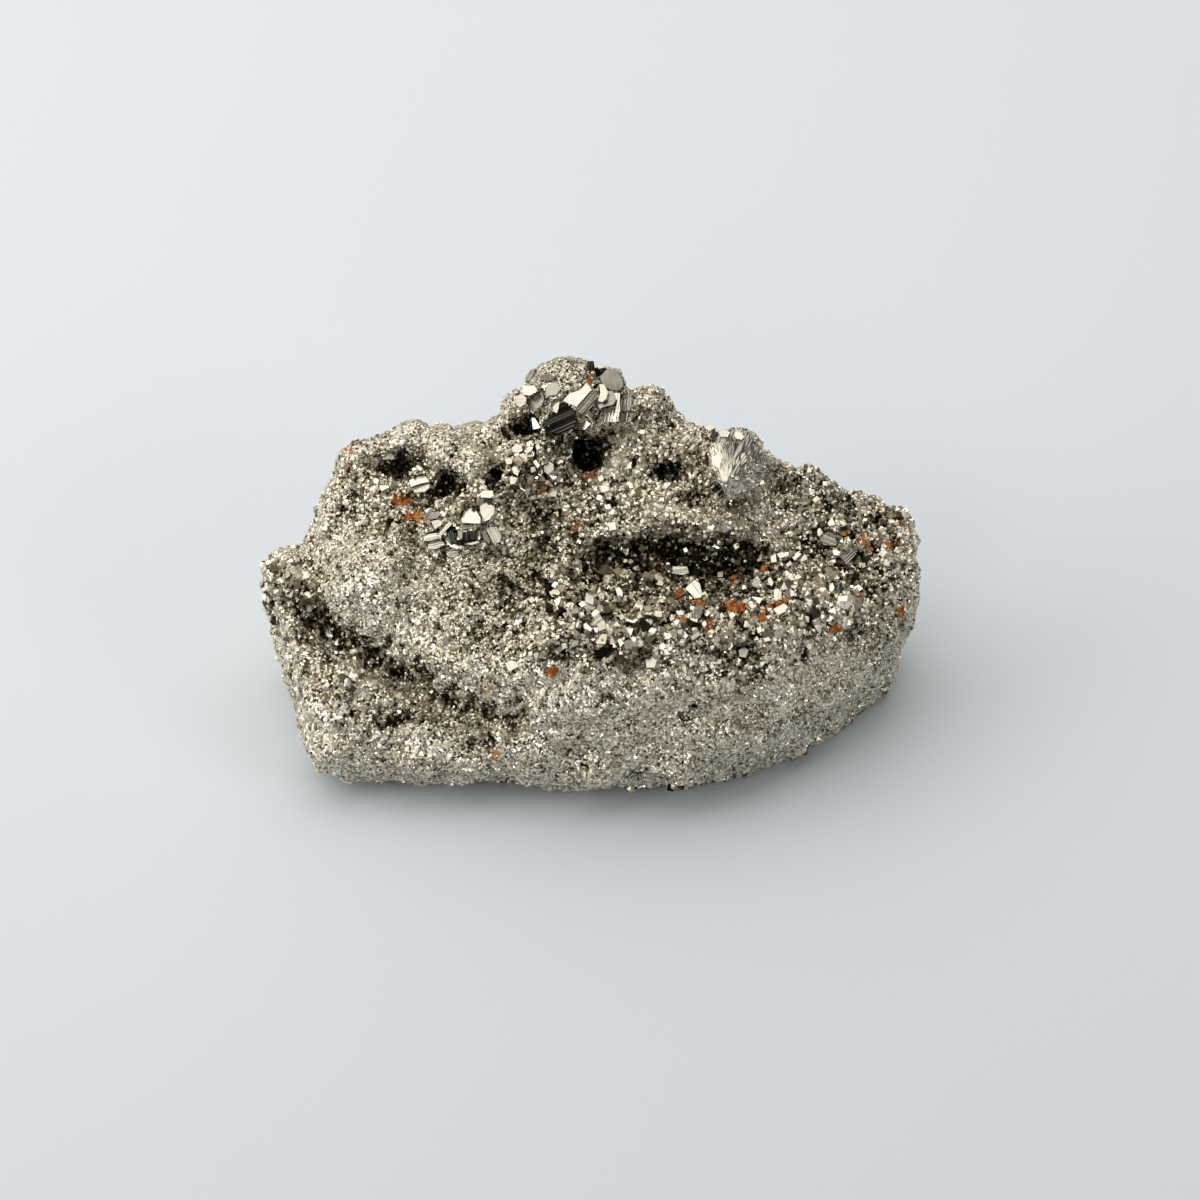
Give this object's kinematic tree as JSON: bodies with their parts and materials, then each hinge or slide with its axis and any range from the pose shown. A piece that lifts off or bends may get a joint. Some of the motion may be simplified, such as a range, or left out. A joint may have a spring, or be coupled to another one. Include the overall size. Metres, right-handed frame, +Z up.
{
  "type": "pyrite specimen",
  "caption": "Hand-sized lump of granular pyrite with knobs, pits and larger crystals on its top, resting on a flat underside.",
  "frame": {"origin": "middle of the bounding box in X and Y, on the surface that the lump rests on", "axes": "+X along the lump's length to the right as seen from its front, +Y from its front to its back, +Z up"},
  "size_m": [0.1038, 0.059, 0.0504],
  "materials": {
    "pyrite": "satin"
  },
  "bodies": {
    "root": {"pyrite_mass": "pyrite"}
  },
  "joints": []
}
